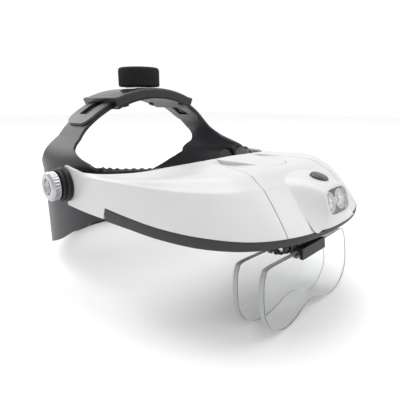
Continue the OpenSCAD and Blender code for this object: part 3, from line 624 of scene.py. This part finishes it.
def skin_over(xy):
    """The skin's point over each plan place: from the nearest of a table of skin points, six
    Newton steps on (s, v) with slopes taken by differences."""
    flat = xy.reshape(-1, 2)
    nearest = np.concatenate([np.argmin(((c[:, None] - table_xy[None]) ** 2).sum(-1), 1)
                              for c in np.array_split(flat, max(1, len(flat) // 1500))])
    sv = table_sv[nearest].copy()
    for _ in range(6):
        p = visor_skin(sv[:, 0], sv[:, 1])
        hs = np.where(sv[:, 0] > 8, -1e-4, 1e-4)
        hv = np.where((sv[:, 1] > 1) & (sv[:, 1] < 1.9999) | (sv[:, 1] < 0.0002), 1e-4, -1e-4)
        a = (visor_skin(sv[:, 0] + hs, sv[:, 1]) - p)[:, :2] / hs[:, None]
        b = (visor_skin(sv[:, 0], sv[:, 1] + hv) - p)[:, :2] / hv[:, None]
        miss = flat - p[:, :2]
        det = a[:, 0] * b[:, 1] - a[:, 1] * b[:, 0]
        det = np.where(np.abs(det) < 1e-6, 1e-6, det)
        step = np.stack([(miss[:, 0] * b[:, 1] - miss[:, 1] * b[:, 0]) / det,
                         (a[:, 0] * miss[:, 1] - a[:, 1] * miss[:, 0]) / det], -1)
        sv = np.clip(sv + np.clip(step, -0.4, 0.4), [4, 0], [12, 2])
    return visor_skin(sv[:, 0], sv[:, 1]).reshape(*xy.shape[:-1], 3)


door_front, door_arc, door_gap = -93.0, 17.8, 0.35
door_half = 14.05
edge_line = curve(edge_all, np.linspace(5, 11, 400))[::-1]
foot_line = curve(foot_all, np.linspace(5, 11, 400))[::-1]


def door_nose(x):
    """y of the battery cover's rounded front end at x, an arc about the centre line."""
    return door_front + door_arc - np.sqrt(door_arc ** 2 - np.minimum(np.abs(x), 14.1) ** 2)


def cover_plan(q, w, grow):
    """Plan places on the front cover: q runs across it, -1 to 1, with the battery cover's
    sides at -0.4 and 0.4; w runs from the top's inner edge (0) past the front of the battery
    cover (1) to the lip (2). grow widens the opening."""
    q, w = np.broadcast_arrays(q, w)
    across = np.clip((np.abs(q) - 0.4) / 0.6, 0, 1)
    middle = np.abs(q) < 0.4
    x = np.sign(q) * np.where(middle, door_half * np.abs(q) / 0.4, door_half + across * 22)
    for _ in range(4):
        y_top = np.interp(x, edge_line[:, 0], edge_line[:, 1]) - 0.02
        y_lip = np.interp(x, foot_line[:, 0], foot_line[:, 1]) + 0.01
        y_mid = door_nose(np.where(np.abs(q) > 0.4, door_half, x)) - grow
        y = np.where(w < 1, y_top + (y_mid - y_top) * w, y_mid + (y_lip - y_mid) * (w - 1))
        inner = np.interp(y, [-87, -40], [door_half, 17.5]) + grow * (y > -88)
        outer = 22 + (-30 - y) * 24 / 110 - 0.35
        x = np.sign(q) * np.where(middle, inner * np.abs(q) / 0.4,
                                  inner + across * (outer - inner))
    return np.stack([x, y], -1)


def scoop(p):
    """Depth of the finger scoops: deepest beside the battery cover, fading outwards and
    forwards."""
    u = (np.abs(p[..., 0]) - 15.5) / 16
    v = (-p[..., 1] - 52) / 36
    return 2.6 * (1 - ease(0.45, 1.0, u)) * ease(0.0, 0.16, v) * (1 - ease(0.3, 1.0, v))


rows_w = np.concatenate([np.linspace(0, 1, 64)[:-1], 1 + np.linspace(0, 1, 70)])[:, None]
cols_q = np.linspace(0.4, 1, 44)[None, :]
cols_mid = np.linspace(-0.4, 0.4, 41)[None, :]


def cover_points(q, w, grow=door_gap):
    """Cover skin over the plan grid, with the crease rounded and the scoops sunk in."""
    g = skin_over(cover_plan(q, w, grow))
    for _ in range(6):
        g[1:-1, :, 2] = 0.5 * g[1:-1, :, 2] + 0.25 * (g[:-2, :, 2] + g[2:, :, 2])
    g[..., 2] -= scoop(g)
    return g


side_strip = cover_points(cols_q, rows_w)
brow_strip = cover_points(cols_mid, rows_w[63:])
cover_grids = [side_strip, side_strip[:, ::-1] * [-1, 1, 1], brow_strip]
verts = np.concatenate([g.reshape(-1, 3) for g in cover_grids])
quads, base = [], 0
for g in cover_grids:
    quads.append(grid_faces(*g.shape[:2])[:, ::-1] + base)
    base += g.shape[0] * g.shape[1]
front_cover = new_object("front_cover_skin", verts, np.concatenate(quads))


def merge_close(obj, near=0.02):
    """Joins vertices of obj that lie within near millimetres."""
    import bmesh
    shape = bmesh.new()
    shape.from_mesh(obj.data)
    bmesh.ops.remove_doubles(shape, verts=shape.verts, dist=near * 0.001)
    shape.to_mesh(obj.data)
    shape.free()
    obj.data.update()


merge_close(front_cover)
thicken(front_cover, shell_wall, 0.25)
front_cover.data.materials.append(visor_white)
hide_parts("front_cover")
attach(front_cover, "visor")


# ---- Battery cover ---------------------------------------------------------------------------
# A white tongue-shaped lid that slides back out of the front cover over the cells. Its rounded
# front end sits against the cover, and its top follows the visor's.
door_w = np.linspace(0, 1, 60)[:, None]
door_grid = skin_over(cover_plan(cols_mid * 0.999, door_w, 0.0))
door = skin_object("battery_lid", door_grid, True)
thicken(door, 3.4, 0.35)
door.data.materials.append(visor_white)
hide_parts("battery_cover")
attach(door, "battery_cover")


# ---- Lower trim ---------------------------------------------------------------------------------
# A charcoal strip clipped under the wall's foot, tall and round-ended behind the cheeks and
# thinner towards the brow.
trim_s = np.linspace(notch, 16 - notch, 260)
foot = curve(foot_all, trim_s)
aim = -foot[:, :2] + [0, -40]
aim /= np.linalg.norm(aim, axis=1)[:, None]
near_end = np.minimum(trim_s, 16 - trim_s) - notch
trim_foot = trim_low - 0.5 * ease(0.6, 3.5, near_end)
theta = np.linspace(0, 2 * np.pi, 28, endpoint=False)
ring_d = 0.9 + 1.3 * rim(np.cos(theta), 0.45)
ring_h = 0.5 + 0.5 * rim(np.sin(theta), 0.45)
close = np.sqrt(np.clip(1 - (1 - np.clip(near_end / 0.06, 0, 1)) ** 2, 0.02, 1))
tall = foot[:, 2] - 0.03 - trim_foot
trim_plan = foot[:, None, :2] + aim[:, None] * ring_d[:, None]
trim_z = trim_foot[:, None] + tall[:, None] * (0.5 + (ring_h - 0.5) * close[:, None])
trim_grid = np.concatenate([trim_plan, trim_z[..., None]], -1)
n_ring = len(theta)
trim_ends = [list(range(n_ring)), [(len(trim_s) - 1) * n_ring + k for k in range(n_ring)]]
trim = new_object("visor_trim", trim_grid.reshape(-1, 3),
                  grid_faces(len(trim_s), n_ring, True).tolist() + trim_ends)
face_outwards(trim)
trim_charcoal = moulded("trim_charcoal", (0.026, 0.026, 0.03), 0.5, grain=0.4,
                        Specular_IOR_Level=0.35)
trim.data.materials.append(trim_charcoal)
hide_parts("lower_trim")
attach(trim, "visor")


# ---- Lamp housing ----------------------------------------------------------------------------------
# A white nose that swells from the front cover behind a short groove and ends in the lamp's
# frame. The switch button sits on its sloping back.
lamp_lean, lamp_at = math.radians(19), np.array([0, -130.6, 76.2])


def in_lamp(p):
    """Places given in the lamp's own frame (x, out of the face towards -y, up), put in ours."""
    p = np.asarray(p, float)
    c, s = math.cos(lamp_lean), math.sin(lamp_lean)
    return lamp_at + np.stack([p[..., 0], c * p[..., 1] + s * p[..., 2],
                               -s * p[..., 1] + c * p[..., 2]], -1)


def lamp_ring(half_w, half_h, power, out, up=0.0):
    """A ring round the lamp, an oval of that power at out along the lamp's own depth."""
    return in_lamp(np.stack([half_w * rim(np.cos(nose_t), power), np.full(len(nose_t), out),
                             half_h * rim(np.sin(nose_t), power) + up], -1))


nose_t = np.linspace(0, 2 * np.pi, 144, endpoint=False)
nose_w = np.linspace(0, 1, 40)[:, None]
stations = np.radians([-60, -35, 0, 30, 55, 75, 90])
side_plan = np.array([[19, -132.9], [24.4, -130.9], [22.6, -119], [20.4, -110],
                      [15.5, -104.4], [8, -102.4], [0, -101.8]])
side_back = np.concatenate([side_plan, skin_over(side_plan)[:, 2:] - 0.35], 1)
side_back[:2, 2] = 63.6, 63.5
under = np.array([[0, -134.4, 63.2], [12, -134.1, 63.4]])
back_half = np.concatenate([under, side_back])
back_at = np.concatenate([np.radians([-90, -75]), stations])
back_all = np.concatenate([back_half, (back_half * [-1, 1, 1])[-2:0:-1]])
back_ang = np.concatenate([back_at, (np.pi - back_at)[-2:0:-1]])
spot = (nose_t + np.pi / 2) % (2 * np.pi) - np.pi / 2
loop_s = np.interp(spot, np.concatenate([back_ang, [1.5 * np.pi]]), np.arange(len(back_ang) + 1))
wrap = np.concatenate([back_all[-1:], back_all, back_all[:2]])
nose_back = curve(wrap, loop_s + 1)
face = lamp_ring(13.9, 8.8, 0.62, -0.9, -0.2)
over = 0.5 + 0.5 * np.sin(nose_t)
crest = np.maximum(face[:, 2], nose_back[:, 2])
steer = np.stack([face[:, 0] * 1.06 + 0.1 * (nose_back[:, 0] - face[:, 0]),
                  face[:, 1] + (nose_back[:, 1] - face[:, 1]) * (0.42 + 0.1 * over),
                  crest * over + (1 - over) * (face[:, 2] + nose_back[:, 2]) / 2
                  + 0.9 * over ** 3], -1)
nose_w = nose_w[..., None]
nose_grid = (1 - nose_w) ** 2 * face + 2 * nose_w * (1 - nose_w) * steer + nose_w ** 2 * nose_back
inner_ring, deep_ring = lamp_ring(12.2, 7.2, 0.5, -0.9), lamp_ring(11.8, 6.8, 0.5, 5.0)
nose_grid = np.concatenate([[deep_ring, (inner_ring + deep_ring) / 2, inner_ring,
                             (inner_ring + face) / 2], nose_grid])
nose = new_object("lamp_nose", nose_grid.reshape(-1, 3),
                  grid_faces(len(nose_grid), len(nose_t), True)[:, ::-1])
nose.data.materials.append(visor_white)
round_edges(nose, 0.5, 3, 50)
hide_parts("lamp_bezel")
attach(nose, "visor")


# ---- Lamp -------------------------------------------------------------------------------------
# Behind a clear moulded window two white diodes stand in bright cones on a small green board.
# A glossy black push button on the nose's back works the switch.
def repaint(mat, *nodes):
    """Gives each named CAD node that material alone."""
    for node in nodes:
        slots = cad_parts[node].data.materials
        slots.clear()
        slots.append(mat)


clear_plastic = finish_material("clear_plastic", (0.97, 0.975, 0.98), 0.02,
                                Transmission_Weight=1.0, IOR=1.49)
chrome = moulded("reflector_chrome", (0.8, 0.8, 0.81), 0.16, grain=0.1, scale=900.0, Metallic=1.0)
diode = moulded("diode_body", (0.9, 0.88, 0.74), 0.12, grain=0.05, Coat_Weight=0.6)
board_green = moulded("board_green", (0.02, 0.16, 0.07), 0.4, grain=0.3)
button_black = moulded("button_black", (0.012, 0.012, 0.013), 0.25, grain=1.0, scale=2600.0,
                       Coat_Weight=0.3)
repaint(clear_plastic, "lamp_window")
repaint(chrome, "reflectors")
repaint(diode, "leds")
repaint(board_green, "led_board")

cap_lean, cap_at = math.radians(19), np.array([0, -119, 88.6])
cap = lathe("button_cap", [[0, 0.9], [2.4, 0.84], [4.3, 0.6], [5.1, 0.3], [5.5, -0.2], [5.6, -0.9],
                           [5.6, -2.9], [6.9, -2.9], [6.9, -3.9], [0, -3.9]], 72, 0, 0, 0)
flat = points(cap)
place_points(cap, cap_at + np.stack([
    flat[:, 0], math.cos(cap_lean) * flat[:, 1] - math.sin(cap_lean) * flat[:, 2],
    math.sin(cap_lean) * flat[:, 1] + math.cos(cap_lean) * flat[:, 2]], -1))
cap.data.materials.append(button_black)
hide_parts("push_button")
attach(cap, "push_button")


# ---- Side knobs ---------------------------------------------------------------------------------
# Turned and polished aluminium thumb nuts with many small flats, a chamfered face and a
# recess round the bolt's tip. They clamp the visor's arms to the band's sides.
knob_wall = np.linspace(0.7, 4.3, 13)[:, None] * [0, 1] + [10.0, 0]
nut_line = np.concatenate([[[2.55, 0], [8.9, 0], [9.5, 0.15], [9.85, 0.4]], knob_wall,
                           [[9.75, 4.75], [9.2, 5.35], [8.7, 5.8], [8.45, 5.95], [8.1, 6.0],
                            [5.8, 6.0], [5.5, 5.9], [5.4, 5.65], [5.4, 4.55], [5.25, 4.4],
                            [2.55, 4.4], [2.55, 0]]])
nut_x, flats_n = 96.5, 28
knob_metal = moulded("knob_metal", (0.42, 0.42, 0.44), 0.22, grain=0.12, scale=1800.0, Metallic=1.0)
for side, axis in [("left", "x"), ("right", "-x")]:
    nut = lathe("side_nut_" + side, nut_line, flats_n * 10, nut_x if side == "left" else -nut_x,
                pivot_y, pivot_z, axis, ribs=flats_n, deep=0.42, ribbed=(0.4, 4.9))
    nut.data.materials.append(knob_metal)
    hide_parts("side_knob_" + side)
    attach(nut, "side_knob_" + side)


# ---- Magnifier plates -------------------------------------------------------------------------------
# Two clear acrylic plates with a lens for each eye, thickest in the middle, with the cut edge
# left slightly frosted. They push up into the clip bars under the visor.
hinge_at, lens_lean = np.array([0, -111.5, 48.3]), math.radians(7)
lens_mid, lens_pitch, eye_x, eye_z = -3.25, 18, 27, -24.5
half_lens = [[0, -5.0], [22, -5.0], [44, -4.8], [48.6, -7.6], [50.8, -14], [51.6, -24],
             [50.6, -32.5], [45, -40.6], [33, -46.2], [20, -45.4], [9, -41.6], [0, -40.2]]
half_rim = curve(half_lens, np.arange(0, 11.01, 0.125))
plate_rim = np.concatenate([half_rim, (half_rim * [-1, 1])[-2:0:-1]])
middle = np.stack([np.clip(plate_rim[:, 0], -eye_x, eye_x), np.full(len(plate_rim), eye_z)], -1)
inward = middle - plate_rim
reach = np.linalg.norm(inward, axis=1)[:, None]
ring_at = [0, 0.05, 0.15, 0.3, 0.5, 0.9, 1.6, 3, 5, 8, 11, 14, 17]


def half_thick(d):
    """Half the plate's thickness at d in from its rim: a rounded corner, then a slow rise."""
    return (1.2 + math.sqrt(max(0, 0.25 - (0.5 - min(d, 0.5)) ** 2))
            + 0.28 * math.sin(math.pi / 2 * min(1, max(0, d - 0.5) / 16)))


acrylic = finish_material("clear_acrylic", (0.985, 0.99, 0.99), 0.015, Transmission_Weight=1.0,
                          IOR=1.49)
tint = acrylic.node_tree.nodes.new("ShaderNodeVolumeAbsorption")
tint.inputs["Color"].default_value = (0.5, 0.54, 0.55, 1)
tint.inputs["Density"].default_value = 5
acrylic.node_tree.links.new(tint.outputs["Volume"],
                            acrylic.node_tree.nodes["Material Output"].inputs["Volume"])
cut_edge = moulded("acrylic_edge", (0.9, 0.92, 0.93), 0.3, grain=0.6, scale=700.0,
                   Transmission_Weight=0.6, IOR=1.49)
for k, body in enumerate(["lens_front", "lens_rear"]):
    rings = [[(plate_rim + inward * np.minimum(0.97, d / reach), way * half_thick(d))
              for d in ring_at] for way in (-1, 1)]
    order = rings[0][::-1] + rings[1]
    local = np.stack([np.concatenate([p, np.full((len(p), 1), t)], 1) for p, t in order])
    x, up, out = local[..., 0], local[..., 1], local[..., 2] + lens_mid + lens_pitch * k
    placed = hinge_at + np.stack([x, math.cos(lens_lean) * out + math.sin(lens_lean) * up,
                                  -math.sin(lens_lean) * out + math.cos(lens_lean) * up], -1)
    n = len(plate_rim)
    quads = grid_faces(len(order), n, True).tolist()
    plate = new_object(body + "_plate", placed.reshape(-1, 3),
                       quads + [list(range(n))[::-1], [(len(order) - 1) * n + i for i in range(n)]])
    face_outwards(plate)
    plate.data.materials.append(acrylic)
    plate.data.materials.append(cut_edge)
    edge_rows = range(len(ring_at) - 3, len(ring_at) + 2)
    for f in range(len(quads)):
        plate.data.polygons[f].material_index = 1 if f // n in edge_rows else 0
    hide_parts(body)
    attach(plate, body)


# ---- What is as the workshop made it ----------------------------------------------------
# Tongues, discs, bolts, screws, springs, cells and the plate bracket keep their made shape
# and take their finish here. The bolts are steel outside the arms; inside the arms they carry painted
# shade, near black and not metallic.
tongue_plastic = moulded("tongue_plastic", (0.03, 0.03, 0.036), 0.36, grain=0.4)
disc_plastic = moulded("disc_plastic", (0.008, 0.008, 0.009), 0.45, grain=0.3,
                       Specular_IOR_Level=0.3)
bracket_plastic = moulded("bracket_plastic", (0.007, 0.007, 0.008), 0.42, grain=0.4,
                          Specular_IOR_Level=0.3)
steel_grey = (0.62, 0.62, 0.64)
plated_steel, bolt_steel_painted_shade = (moulded(name, steel_grey, 0.28, grain=0.15, scale=1600.0, Metallic=1.0)
                            for name in ("plated_steel", "bolt_steel_painted_shade"))
tree = bolt_steel_painted_shade.node_tree
split = tree.nodes.new("ShaderNodeSeparateXYZ")
place = tree.nodes.new("ShaderNodeTexCoord")
size = tree.nodes.new("ShaderNodeMath")
size.operation = "ABSOLUTE"
outer = tree.nodes.new("ShaderNodeMath")
outer.operation = "GREATER_THAN"
outer.inputs[1].default_value = 0.09
# Painted shade: where |x| is under 90 mm, inside the arms, the bolt is near black and not metallic,
# standing in for the shade in the pivots.
paint = tree.nodes.new("ShaderNodeMix")
paint.data_type = "RGBA"
paint.inputs["A"].default_value = (0.02, 0.02, 0.022, 1)
paint.inputs["B"].default_value = (*steel_grey, 1)
tree.links.new(place.outputs["Object"], split.inputs[0])
tree.links.new(split.outputs["X"], size.inputs[0])
tree.links.new(size.outputs[0], outer.inputs[0])
tree.links.new(outer.outputs[0], paint.inputs["Factor"])
tree.links.new(paint.outputs["Result"], tree.nodes["Principled BSDF"].inputs["Base Color"])
tree.links.new(outer.outputs[0], tree.nodes["Principled BSDF"].inputs["Metallic"])
cell_jacket = moulded("cell_jacket", (0.08, 0.13, 0.26), 0.3, grain=0.1)
repaint(tongue_plastic, "rack_tongue_left", "rack_tongue_right")
repaint(disc_plastic, "housing_base", "pivot_bushes", "pivot_washers")
repaint(bracket_plastic, "bracket_mount", "lens_bracket", "underplate", "battery_tray",
        "button_switch", "housing_screws")
repaint(bolt_steel_painted_shade, "pivot_bolts")
repaint(cell_jacket, "batteries")
repaint(plated_steel, "knob_screw", "detent_spring", "visor_screws", "battery_contacts",
        "battery_springs", "button_spring", "hinge_pin", "ratchet_pinion")
